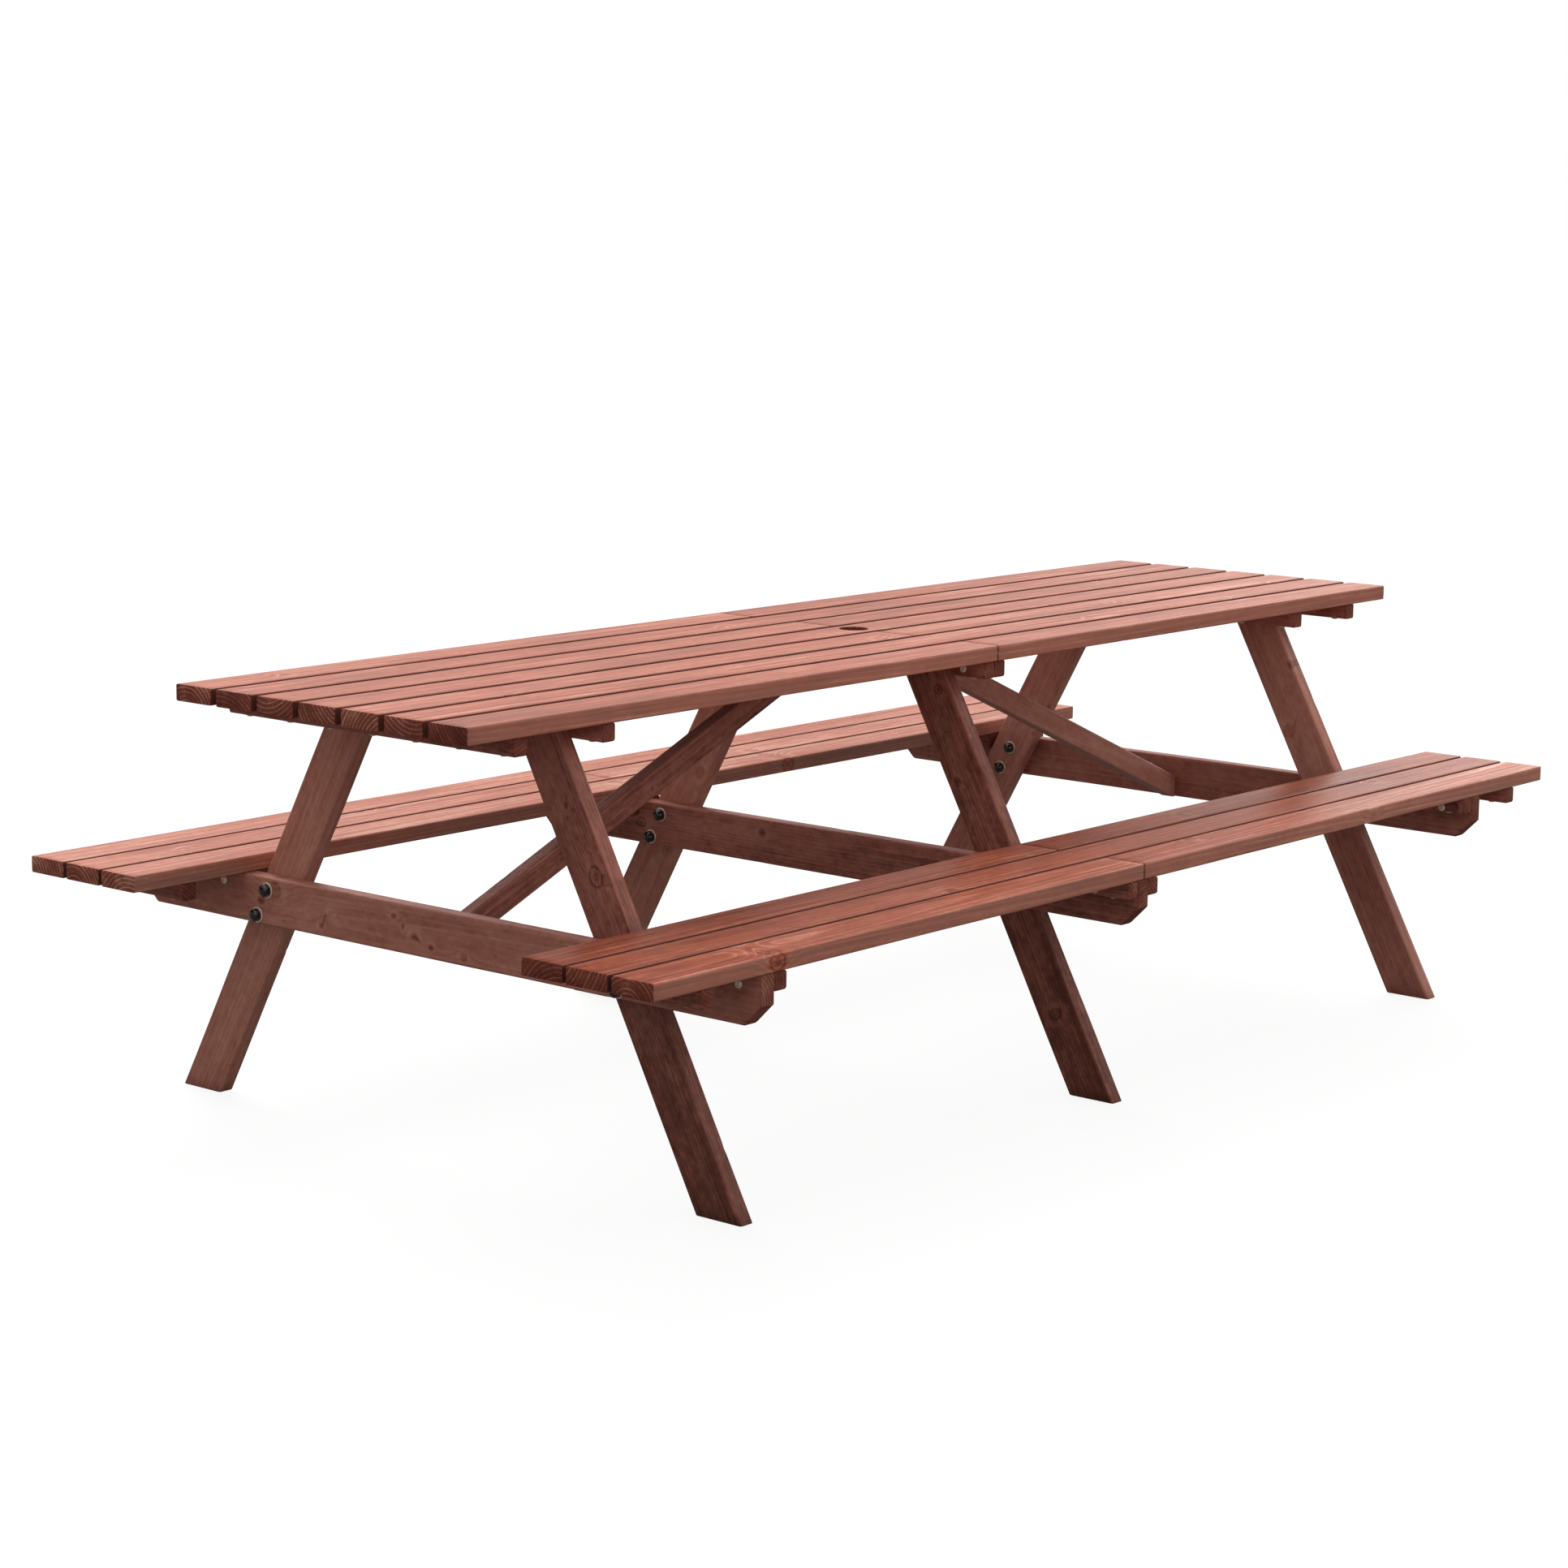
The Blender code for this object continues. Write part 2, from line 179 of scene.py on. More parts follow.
SCREW = ((2.6, -3.0, 0), (2.6, 0.1, 0), (6.8, 0.1, 0), (7.3, 0.5, 0), (7.0, 1.1, 0),
         (5.4, 1.8, 0), (5.1, 2.5, 0), (4.5, 3.0, 0), (3.6, 3.1, 0), (2.7, 2.8, 6),
         (2.4, 0.5, 6), (0.3, 0.3, 6))
HEAD_LIFT, NUT_LIFT, WASHER_LIFT = 0.0014, 0.0018, 0.0002  # off the wood
BOLT_RADIUS = 0.0039
SHANK_OVERLAP = 0.0001
# Screws seen from the front left: height, and distances from the table's centre line
FRAME_SCREWS = {
    "left_crossbeam": (0.385, (0.490, 0.650)),
    "front_right_inner_batten": (0.382, (0.490, 0.646)),
    "front_middle_left_batten": (0.385, (0.490, 0.626)),
    "middle_left_cleat": (0.717, (0.271,)),
}

# Light
SKY_LEVEL, SKY_ABOVE = 0.49, 0.36  # radiance at the horizon, and what the zenith adds
SKY_SIDE = (0.10, -0.17, 0.0)  # added towards the front
SKY_COLOUR = (1.0, 0.985, 0.965)
# panels low behind the table: direction, the cosines where one starts and is full, strength
PANELS = (((0.93, 0.26, 0.26), (0.90, 0.985), 1.4), ((0.40, 0.88, 0.25), (0.88, 0.985), 0.8))
KEY_FROM, KEY_POWER, KEY_ANGLE = (0.5, 0.66, 0.58), 2.3, 45  # the angle in degrees
FLOOR_GLOW, FLOOR_LIT, FLOOR_DIM = 0.88, 0.16, 0.15  # seen, seen and lit, and seen by the table
FLOOR_DROP, FLOOR_REACH = 0.0005, 40

# Camera
CAMERA_AT = (-5.0408, -4.0255, 1.5835)
CAMERA_YAW, CAMERA_PITCH, CAMERA_ROLL = 50.304, 9.769, 0.796  # degrees
CAMERA_LENS, CAMERA_SENSOR = 82.515, 36.0


# ---------------------------------------------------------------- materials

class Nodes:
    """Short calls that build the nodes of a material or a world."""

    def __init__(self, owner):
        owner.use_nodes = True
        self.owner, self.tree = owner, owner.node_tree
        self.shader = self.tree.nodes.get("Principled BSDF")

    def feed(self, socket, value):
        if isinstance(value, bpy.types.NodeSocket):
            self.tree.links.new(value, socket)
        elif value is not None:
            socket.default_value = value

    def node(self, kind, *values, **settings):
        made = self.tree.nodes.new(kind)
        for key, value in settings.items():
            setattr(made, key, value)
        for socket, value in zip(made.inputs, values):
            self.feed(socket, value)
        return made

    def math(self, operation, a, b=None, c=None, clamp=False):
        return self.node("ShaderNodeMath", a, b, c, operation=operation,
                         use_clamp=clamp).outputs[0]

    def add(self, *values):
        total = values[0]
        for value in values[1:]:
            total = self.math("ADD", total, value)
        return total

    def times(self, a, b):
        return self.math("MULTIPLY", a, b)

    def sum_of(self, marks, weights):
        """The marks that weights names, each times its weight."""
        return self.add(*(self.times(marks[key], weight) for key, weight in weights.items()))

    def length(self, a, b):
        return self.math("SQRT", self.add(self.times(a, a), self.times(b, b)))

    def step(self, value, low, high):
        """0 below low, 1 above high and smooth between."""
        made = self.node("ShaderNodeMapRange", value, low, high,
                         interpolation_type="SMOOTHSTEP")
        return made.outputs[0]

    def fade(self, value, low, high):
        return self.math("SUBTRACT", 1.0, self.step(value, low, high))

    def split(self, vector):
        return self.node("ShaderNodeSeparateXYZ", vector).outputs[:3]

    def join(self, x, y, z):
        return self.node("ShaderNodeCombineXYZ", x, y, z).outputs[0]

    def attribute(self, name):
        return self.node("ShaderNodeAttribute", attribute_name=name).outputs["Vector"]

    def stretch(self, vector, scale):
        made = self.node("ShaderNodeVectorMath", vector, scale, operation="MULTIPLY")
        return made.outputs[0]

    def noise(self, vector, scale, detail, roughness):
        """Noise of a stretched vector, from about -0.5 to 0.5."""
        made = self.node("ShaderNodeTexNoise")
        self.feed(made.inputs["Vector"], self.stretch(vector, scale))
        made.inputs["Scale"].default_value = 1.0
        made.inputs["Detail"].default_value = detail
        made.inputs["Roughness"].default_value = roughness
        return self.math("SUBTRACT", made.outputs[0], 0.5)

    def ramp(self, value, stops):
        made = self.node("ShaderNodeValToRGB", value)
        line = made.color_ramp.elements
        while len(line) < len(stops):
            line.new(0.5)
        for element, (place, colour) in zip(line, stops):
            element.position = place
            element.color = (*colour, 1.0)
        return made.outputs[0]

    def mix(self, factor, a, b):
        made = self.node("ShaderNodeMix", data_type="RGBA")
        self.feed(made.inputs[0], factor)
        self.feed(made.inputs[6], a)
        self.feed(made.inputs[7], b)
        return made.outputs[2]

    def bump(self, height, strength, distance):
        made = self.node("ShaderNodeBump")
        made.inputs["Strength"].default_value = strength
        made.inputs["Distance"].default_value = distance
        self.feed(made.inputs["Height"], height)
        return made.outputs[0]


def log_knots(n, x, radius, angle, shape):
    """Knots that run out from the pith, in cells of length along the log and angle round it.
    Gives the marks they leave and how they push the rings aside."""
    cells = n.node("ShaderNodeTexVoronoi", voronoi_dimensions="2D")
    n.feed(cells.inputs["Vector"], n.join(n.times(x, KNOT_ALONG),
                                          n.times(angle, KNOT_ROUND), 0.0))
    cells.inputs["Scale"].default_value = 1.0
    chance, size, _ = n.split(cells.outputs["Color"])
    knot_x, knot_a, _ = n.split(cells.outputs["Position"])
    away_x = n.math("SUBTRACT", n.times(knot_x, 1 / KNOT_ALONG), x)
    away_a = n.times(n.math("SUBTRACT", n.times(knot_a, 1 / KNOT_ROUND), angle), radius)
    here = n.fade(chance, KNOT_CHANCE, KNOT_CHANCE + 0.02)
    size = n.add(n.times(size, KNOT_RANGE), KNOT_SMALLEST)
    knot = n.math("DIVIDE", n.length(n.times(away_x, 0.8), away_a), size)
    knot = n.add(knot, n.times(shape, 0.35))
    near = n.times(n.math("EXPONENT", n.times(n.times(knot, knot), -0.09)), here)
    marks = {
        "knot_core": n.times(n.fade(knot, 0.55, 1.05), here),
        "knot_rim": n.times(n.times(n.step(knot, 0.75, 1.0), n.fade(knot, 1.0, 1.35)), here),
        "knot_halo": n.times(n.times(n.step(knot, 1.2, 1.7), n.fade(knot, 2.0, 3.4)), here),
    }
    return marks, n.times(near, n.times(size, 1.5))


def placed_knots(n, shape):
    """The large knots, each placed on its board: their tone, their push on the rings, and
    the wood clear of them."""
    along, off, reach = n.split(n.attribute("knot"))
    knob = n.math("DIVIDE", n.length(n.times(along, 0.8), off), reach)
    knob = n.add(knob, n.times(shape, 0.45))
    swirl = n.times(n.math("SINE", n.times(knob, 19.0)), n.fade(knob, 0.9, 1.15))
    small = n.fade(reach, 0.0055, 0.0085)
    tone = n.add(n.times(n.fade(knob, 0.25, 0.60), -0.20), n.times(swirl, 0.09),
                 n.times(n.times(n.step(knob, 0.8, 1.0), n.fade(knob, 1.0, 1.3)), -0.22),
                 n.times(n.times(n.step(knob, 1.15, 1.5), n.fade(knob, 1.7, 3.4)), 0.09),
                 n.times(n.times(n.fade(knob, 0.5, 1.3), small), -0.26))
    bulge = n.math("EXPONENT", n.times(n.times(knob, knob), -0.22))
    return tone, n.times(bulge, n.times(reach, 1.4)), n.step(knob, 0.9, 2.0)


def growth(n, radius, warp, ring):
    """Late wood, paler in some years, and the thin line that ends it."""
    turn = n.times(n.add(radius, warp), 1 / ring)
    share = n.math("FRACT", turn)
    year = n.node("ShaderNodeTexWhiteNoise", noise_dimensions="1D")
    n.feed(year.inputs["W"], n.math("FLOOR", turn))
    late = n.times(n.step(share, 0.35, 0.85), n.fade(share, 0.88, 1.0))
    lines = n.times(n.step(share, 0.66, 0.78), n.fade(share, 0.86, 0.97))
    return {"late": n.times(late, n.add(n.times(year.outputs["Value"], 0.9), 0.25)),
            "lines": n.times(lines, n.add(0.35, year.outputs["Value"]))}


def wood(name, stops, end_colour, ring, roughness, specular, spotted, narrow_face_light, banded,
         streaky, blotchy):
    """Stained softwood. It reads the attributes that tag() gives a board."""
    n = Nodes(bpy.data.materials.new(name))
    end, v, w = n.split(n.attribute("side"))
    seed, half_v, half_w = n.split(n.attribute("half"))
    x, y, z = n.split(n.attribute("log"))
    own = n.join(x, n.add(y, n.times(seed, 3.7)), n.add(z, n.times(seed, 1.9)))
    marks = {key: n.noise(own, (along, across, across), detail, rough)
             for key, (along, across, detail, rough) in WOOD_NOISE.items()}
    # the board's tone, which on some boards holds painted light and shade
    marks["board"] = n.node("ShaderNodeAttribute", attribute_name="tone").outputs["Fac"]
    marks["painted_recess_shade"] = n.node("ShaderNodeAttribute", attribute_name="painted_recess_shade").outputs["Fac"]

    # the log
    radius = n.length(y, z)
    knots, push = log_knots(n, x, radius, n.math("ARCTAN2", y, z), marks["knot_shape"])
    marks["knob"], bulge, clear = placed_knots(n, marks["knob_shape"])
    warp = n.add(n.times(marks["bend"], 0.020), n.times(marks["ripple"], 0.0022), push, bulge)
    marks.update(knots)
    marks.update(growth(n, radius, warp, ring))
    marks["hair"] = n.step(marks["hair"], 0.13, 0.22)
    spots = n.times(n.step(marks["spot"], 0.12, 0.19),
                    n.step(marks["spotted_part"], 0.02, 0.10))

    # wear, by distance from the long edges and the ends
    in_v = n.math("SUBTRACT", half_v, n.math("ABSOLUTE", v))
    in_w = n.math("SUBTRACT", half_w, n.math("ABSOLUTE", w))
    edge = n.math("MINIMUM", n.add(in_v, in_w),
                  n.add(end, n.math("MINIMUM", in_v, in_w)))
    marks["wear"] = n.fade(n.add(edge, n.times(marks["rubbed"], -0.010)), 0.0012, 0.0062)
    marks["chips"] = n.times(n.step(marks["chip"], 0.17, 0.24), n.fade(edge, 0.003, 0.022))
    marks["specks"] = n.step(marks["speck"], 0.25, 0.29)
    marks["sawn"] = n.fade(end, 0.0004, 0.0018)
    marks["soaked"] = n.add(n.fade(n.add(end, n.times(marks["streak"], 0.03)), 0.0, 0.030),
                            n.times(n.fade(end, 0.001, 0.0055), 2.0))
    narrow = n.fade(in_v, 0.0005, 0.003)
    grime = n.times(n.step(marks["grimy"], 0.03, 0.22),
                    n.add(GRIME, n.times(narrow, GRIME_ON_SIDES)))

    tone = n.add(0.5, n.times(n.sum_of(marks, GRAIN_TONE), banded),
                 n.times(n.add(marks["streak"], marks["strand"]), streaky),
                 n.times(n.add(marks["mottle"], marks["blotch"]), blotchy),
                 n.times(spots, -spotted), n.sum_of(marks, FACE_TONE))
    face = n.mix(grime, n.ramp(tone, stops), (*GRIME_COLOUR, 1.0))
    # painted light: the narrow faces made paler, away from the large knots
    face = n.mix(n.times(n.times(narrow, clear), narrow_face_light), face, (*NARROW_FACE_LIGHT_COLOUR, 1.0))
    # painted shade in the gaps between slats and in the umbrella hole
    face = n.mix(n.times(marks["painted_recess_shade"], RECESS_SHADE_STRENGTH), face, (*RECESS_SHADE_COLOUR, 1.0))
    dark, mid, light = end_colour
    cut = n.ramp(n.add(END_PLAIN, n.sum_of(marks, END_TONE)),
                 ((0.15, dark), (0.55, mid), (1.0, light)))
    n.feed(n.shader.inputs["Base Color"], n.mix(marks["sawn"], face, cut))
    n.feed(n.shader.inputs["Roughness"], n.add(roughness, n.sum_of(marks, GLOSS)))
    n.shader.inputs["Specular IOR Level"].default_value = specular
    relief = n.add(n.sum_of(marks, RELIEF),
                   n.times(n.times(marks["grain"], marks["sawn"]), 1.4))
    n.feed(n.shader.inputs["Normal"], n.bump(relief, 0.5, 0.0005))
    return n.owner


def metal(name, colour, metallic, roughness, coat, smear):
    """Small hardware: a smooth finish with faint handling marks and dust."""
    n = Nodes(bpy.data.materials.new(name))
    place = n.node("ShaderNodeTexCoord").outputs["Object"]
    marks = n.noise(place, (260, 260, 260), 3.0, 0.6)
    dust = n.step(n.noise(place, (700, 700, 700), 2.0, 0.6), 0.08, 0.30)
    n.feed(n.shader.inputs["Base Color"],
           n.mix(n.times(dust, smear), (*colour, 1.0), (*DUST, 1.0)))
    n.feed(n.shader.inputs["Roughness"],
           n.add(roughness, n.times(marks, 0.18), n.times(dust, 0.12)))
    n.shader.inputs["Metallic"].default_value = metallic
    n.shader.inputs["Coat Weight"].default_value = coat
    n.shader.inputs["Coat Roughness"].default_value = 0.12
    n.feed(n.shader.inputs["Normal"], n.bump(marks, 0.15, 0.0002))
    return n.owner


WOODS = {name: wood(name, **looks) for name, looks in WOOD_KINDS.items()}
BLACK = metal("black_steel", (0.005, 0.005, 0.006), 0.0, 0.14, 0.9, 0.04)
ZINC = metal("zinc_steel", (1.0, 0.88, 0.68), 0.20, 0.26, 0.0, 0.06)


# ---------------------------------------------------------------- boards

def section(half_v, half_w, radii, inner):
    """The two halves of a board's rounded section, each from -v to +v."""
    halves = []
    for sign, (first, last) in ((1, (radii[0], radii[1])), (-1, (radii[3], radii[2]))):
        left = [(-half_v, half_w - first - SUPPORT)]
        right = [(half_v, half_w - last - SUPPORT)]
        for step in range(ARC_STEPS + 1):
            turn = step * math.pi / 2 / ARC_STEPS
            left.append((-half_v + first - first * math.cos(turn),
                         half_w - first + first * math.sin(turn)))
            right.append((half_v - last + last * math.cos(turn),
                          half_w - last + last * math.sin(turn)))
        left.append((-half_v + first + SUPPORT, half_w))
        right.append((half_v - last - SUPPORT, half_w))
        points = left + [(v, half_w) for v in inner] + right[::-1]
        halves.append([(v, sign * w) for v, w in points])
    return halves


def dents(rng, length):
    """Knocks along the four long edges: (place, edge, reach, depth)."""
    return [(rng.uniform(0.02, 0.98) * length, rng.randrange(4),
             rng.uniform(*DENT_REACH), rng.uniform(*DENT_DEPTH))
            for _ in range(max(1, round(DENTS_PER_METRE * length)))]


def loft(bm, half_v, half_w, start, end, edge, rng, inner=()):
    """Adds a board in its own axes: s along it, v across it and w through it.
    start(v) and end(v) are where it is sawn off."""
    length = end(0.0) - start(0.0)
    knocks = dents(rng, length)
    phase = rng.uniform(0, 100)
    stations = max(2, round(length / STATION))
    places = {round(i / stations, 5) for i in range(stations + 1)}
    for place, _, reach, _ in knocks:
        places |= {round((place + k * reach) / length, 5) for k in DENT_STATIONS
                   if 0 < place + k * reach < length}

    def wander(s, row):
        return noise.noise(Vector((WAVES_PER_METRE * s, phase, row)))

    def radii(s):
        found = [edge * (1 + EDGE_VARIES * wander(3 * s, 5 + k)) for k in range(4)]
        for place, corner, reach, depth in knocks:
            found[corner] += depth * math.exp(-((s - place) / reach) ** 2)
        return found

    def ring(share, inset, push):
        s = share * length
        wide = half_v - WAVE * abs(wander(s, 1)) * 2 - inset
        deep = half_w - WAVE * abs(wander(s, 2)) - inset
        halves = section(wide, deep, radii(s), inner)
        verts = []
        for half in halves:
            row = []
            for v, w in half:
                low, high = start(v), end(v)
                along = low + push if share == 0 else high - push if share == 1 else \
                    low + END_EASE + share * (high - low - 2 * END_EASE)
                row.append(bm.verts.new((along, v, w)))
            verts.append(row)
        return verts

    diagonal = END_EASE * (1 - math.sqrt(0.5))
    ends = ((END_EASE, 0.0), (diagonal, diagonal), (0.0, END_EASE))
    rings = [ring(0, inset, push) for inset, push in ends]
    rings += [ring(share, 0.0, 0.0) for share in sorted(places - {0.0, 1.0})]
    rings += [ring(1, inset, push) for inset, push in reversed(ends)]

    loops = [upper + lower[::-1] for upper, lower in rings]
    for one, two in zip(loops, loops[1:]):
        for i in range(len(one)):
            j = (i + 1) % len(one)
            bm.faces.new((one[i], one[j], two[j], two[i]))
    for (upper, lower), flip in ((rings[0], False), (rings[-1], True)):
        cap(bm, upper, lower, flip)


def cap(bm, upper, lower, flip):
    """Closes a sawn end in strips, and keeps its outline sharp."""
    last = len(upper) - 1
    strips = [[0, 1, 2]] + [[i, i + 1] for i in range(2, last - 2)] + \
        [[last - 2, last - 1, last]]
    for strip in strips:
        face = [upper[i] for i in strip] + [lower[i] for i in reversed(strip)]
        bm.faces.new(face[::-1] if flip else face)
    for i in range(last):
        for row in (upper, lower):
            found = bm.edges.get((row[i], row[i + 1]))
            if found:
                found.smooth = False


def evaluated(thing):
    bpy.context.view_layer.update()
    seen = thing.evaluated_get(bpy.context.evaluated_depsgraph_get())
    return bpy.data.meshes.new_from_object(seen)


def bored(mesh, cutter):
    """The mesh with the cutter's shape taken out."""
    target = bpy.data.objects.new("bored", mesh)
    tool = bpy.data.objects.new("tool", cutter)
    for thing in (target, tool):
        bpy.context.scene.collection.objects.link(thing)
    cut = target.modifiers.new("bore", "BOOLEAN")
    cut.object, cut.solver, cut.operation = tool, "EXACT", "DIFFERENCE"
    made = evaluated(target)
    for thing in (target, tool):
        bpy.data.objects.remove(thing, do_unlink=True)
    return made


def tag(mesh, rng, half_v, half_w, start, end, tones_with_painted_light, gaps, knots):
    """Gives each point its place in the log, on the board and in the board's section.
    gaps are the sides in v, -1 or 1, that face a gap between two boards; their side faces get
    painted shade, and so does the inside of the umbrella hole."""
    count = len(mesh.vertices)
    co = np.empty(count * 3, np.float32)
    mesh.vertices.foreach_get("co", co)
    s, v, w = co.reshape(-1, 3).T
    below = half_w + rng.uniform(*PITH_BELOW)
    beside = rng.choice((-1, 1)) * rng.uniform(*PITH_BESIDE)
    tilt = rng.choice((-1, 1)) * rng.uniform(*PITH_TILT)
    lean = rng.uniform(-PITH_LEAN, PITH_LEAN)
    side_up = rng.choice((-1, 1))
    log = np.stack([s + rng.uniform(0, LOG_LENGTH), v - beside + lean * s,
                    side_up * w + below + tilt * (s - s.min())], 1)
    log[:, 2] = np.maximum(log[:, 2], PITH_NEAREST)
    to_end = np.array([min(a - start(b), end(b) - a) for a, b in zip(s, v)])
    side = np.stack([np.clip(to_end, 0, END_KNOWN), v, w], 1)
    half = np.tile((rng.uniform(0, 10), half_v, half_w), (count, 1))
    # painted shade, deeper down the side faces that face a gap, and full inside the umbrella
    # hole
    painted_recess_shade = np.zeros(count)
    for way in gaps:
        deep = np.clip((half_w - np.abs(w) - 0.0003) / GAP_SHADE_DEPTH, 0, 1)
        painted_recess_shade = np.maximum(painted_recess_shade, np.where(way * v > half_v - SLAT_EDGE, deep, 0))
    bore = UMBRELLA_HOLE / 2 + 0.0004
    painted_recess_shade[(np.hypot(s, v) < bore) & (half_w < SLAT_HALF)] = 1
    # tone along the board, which on some boards holds painted light and shade
    tone = np.interp(s, (s.min(), s.max()), tones_with_painted_light)
    knot = np.tile((1.0, 1.0, 0.01), (count, 1))
    nearest = np.full(count, 1.0)
    for place, knot_v, knot_w, turn, reach in knots:
        turn = math.radians(turn)
        off = (v - knot_v) * math.sin(turn) - (w - knot_w) * math.cos(turn)
        away = np.hypot(s - place, off)
        closer = away < nearest
        knot[closer] = np.stack([s - place, off, np.full(count, reach)], 1)[closer]
        nearest = np.minimum(nearest, away)
    for name, values in (("tone", tone), ("painted_recess_shade", painted_recess_shade)):
        made = mesh.attributes.new(name, "FLOAT", "POINT")
        made.data.foreach_set("value", values.astype(np.float32))
    for name, values in (("log", log), ("side", side), ("half", half), ("knot", knot)):
        made = mesh.attributes.new(name, "FLOAT_VECTOR", "POINT")
        made.data.foreach_set("vector", values.astype(np.float32).ravel())


def finished(mesh, angle=35):
    mesh.polygons.foreach_set("use_smooth", [True] * len(mesh.polygons))
    mesh.set_sharp_from_angle(angle=math.radians(angle))
    return mesh


def piece(name, mesh, surface, slot, nodes=()):
    mesh.materials.clear()
    mesh.materials.append(surface)
    made = bpy.data.objects.new(name, mesh)
    bpy.context.scene.collection.objects.link(made)
    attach(made, "root")
    if nodes:
        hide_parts(*nodes)
    return made


def mesh_from(name, bm):
    mesh = bpy.data.meshes.new(name)
    bmesh.ops.recalc_face_normals(bm, faces=bm.faces)
    bm.to_mesh(mesh)
    bm.free()
    return mesh


def board(node, origin, along, across, half_v, half_w, start, end, slot,
          inner=(), joint=None, cutter=None, gaps=()):
    """A board that stands for one CAD node. joint is where it is in two lengths."""
    rng = random.Random(node)
    along, across = Vector(along).normalized(), Vector(across).normalized()
    through = along.cross(across)
    ends = [(start, end)]
    if joint is not None:
        ends = [(start, lambda v: joint - BUTT_GAP / 2), (lambda v: joint + BUTT_GAP / 2, end)]
    bm = bmesh.new()
    lengths = []
    for low, high in ends:
        part = bmesh.new()
        edge = SLAT_EDGE if slot == "stained_wood" else FRAME_EDGE
        loft(part, half_v, half_w, low, high, edge, rng, inner)
        mesh = mesh_from(node, part)
        if cutter:
            mesh = bored(mesh, cutter)
        own = rng.uniform(-BOARD_TONE, BOARD_TONE)
        known = (tones_with_painted_light for name, tones_with_painted_light in TONES_WITH_PAINTED_LIGHT_AND_SHADE.items() if node.startswith(name))
        tones_with_painted_light = [own + tone for tone in next(known, (0.0, 0.0))]
        tag(mesh, rng, half_v, half_w, low, high, tones_with_painted_light, gaps, KNOTS.get(node, ()))
        lengths.append(mesh)
    for mesh in lengths:
        bm.from_mesh(mesh)
    place = Matrix((
        (along.x, across.x, through.x, origin[0]),
        (along.y, across.y, through.y, origin[1]),
        (along.z, across.z, through.z, origin[2]),
        (0, 0, 0, 1),
    ))
    bm.transform(place)
    return piece(node, finished(mesh_from(node, bm)), WOODS[slot], slot, [node])


def square_board(node, along, across, slot, ends=None, **more):
    """A board whose sides are its CAD node's box."""
    low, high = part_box(node)
    size, middle = high - low, (low + high) / 2
    axis = [abs(Vector(a).dot(size)) for a in (along, across)]
    through = Vector(along).cross(Vector(across))
    reach = axis[0] / 2
    start, end = ends or ((lambda v: -reach), (lambda v: reach))
    return board(node, middle, along, across, axis[1] / 2, abs(through.dot(size)) / 2,
                 start, end, slot, **more)


def lathe(bm, profile, place, segments=24):
    """Turns a profile of (radius, height, shape) round Z. A shape of 4 or 6 has flats."""
    rings = []
    for radius, height, shape in profile:
        ring = []
        for i in range(segments):
            turn = 2 * math.pi * i / segments
            out = radius
            if shape:
                half = math.pi / shape
                out = radius / math.cos((turn + half) % (2 * half) - half)
            ring.append(bm.verts.new(place @ Vector((out * math.cos(turn),
                                                     out * math.sin(turn), height))))
        rings.append(ring)
    for one, two in zip(rings, rings[1:]):
        for i in range(segments):
            j = (i + 1) % segments
            bm.faces.new((one[i], one[j], two[j], two[i]))
    bm.faces.new(rings[0][::-1])
    bm.faces.new(rings[-1])


def umbrella_cutter(axis, offset, low, high, flare_at=None):
    """A round cutter along the w axis (2) or the v axis (1), across at offset."""
    bm = bmesh.new()
    radius = UMBRELLA_HOLE / 2
    profile = [(radius, low, 0), (radius, high, 0)]
    if flare_at is not None:
        profile = [(radius, low, 0), (radius, flare_at - HOLE_FLARE_DEEP, 0),
                   (radius + HOLE_FLARE, flare_at + 0.0002, 0), (radius + HOLE_FLARE, high, 0)]
    lathe(bm, profile, Matrix.Identity(4), 64)
    turn = Matrix.Identity(4) if axis == 2 else Matrix.Rotation(-math.pi / 2, 4, "X")
    bm.transform(Matrix.Translation((0, 0, offset)) @ turn)
    return mesh_from("umbrella_cutter", bm)


# ---------------------------------------------------------------- timber

def sides_on_gaps(node):
    """The sides of a slat, -1 or 1 in Y, that have another slat beside them."""
    group = node.split("_slat_")[0]
    low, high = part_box(node)
    others = [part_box(n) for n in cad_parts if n.startswith(group + "_slat_")]
    front = any(abs(b[1].y - low.y) < 0.02 for b in others)
    back = any(abs(b[0].y - high.y) < 0.02 for b in others)
    return [way for way, found in ((-1, front), (1, back)) if found]


def build_slats():
    for node in sorted(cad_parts):
        if "_slat_" not in node:
            continue
        more = {"gaps": sides_on_gaps(node)}
        if node == "top_slat_4":
            top = (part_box(node)[1].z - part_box(node)[0].z) / 2
            more["cutter"] = umbrella_cutter(2, 0.0, -0.05, 0.05, flare_at=top)
        if node == "back_seat_slat_middle":
            more["joint"] = SEAT_BUTT
        square_board(node, ALONG_X, ALONG_Y, "stained_wood", **more)


def build_sticks():
    for name in STICKS:
        for node in (f"{name}_cleat", f"front_{name}_batten", f"back_{name}_batten"):
            more = {}
            low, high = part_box(node)
            if node in ("middle_left_cleat", "middle_right_cleat"):
                # the hole's axis is X = 0, measured here through the stick, which is +X
                more["cutter"] = umbrella_cutter(1, -(low.x + high.x) / 2, -0.05, 0.05)
            square_board(node, ALONG_Y, UP, "stained_frame_wood", **more)


def build_crossbeams():
    for name in FRAMES:
        node = f"{name}_crossbeam"
        low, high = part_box(node)
        half, reach = (high.z - low.z) / 2, (high.y - low.y) / 2
        corner = BEAM_CHAMFER - half

        def end(v):
            return reach - max(0.0, corner - v)

        square_board(node, ALONG_Y, UP, "stained_frame_wood",
                     ends=((lambda v: -end(v)), end), inner=(corner,))


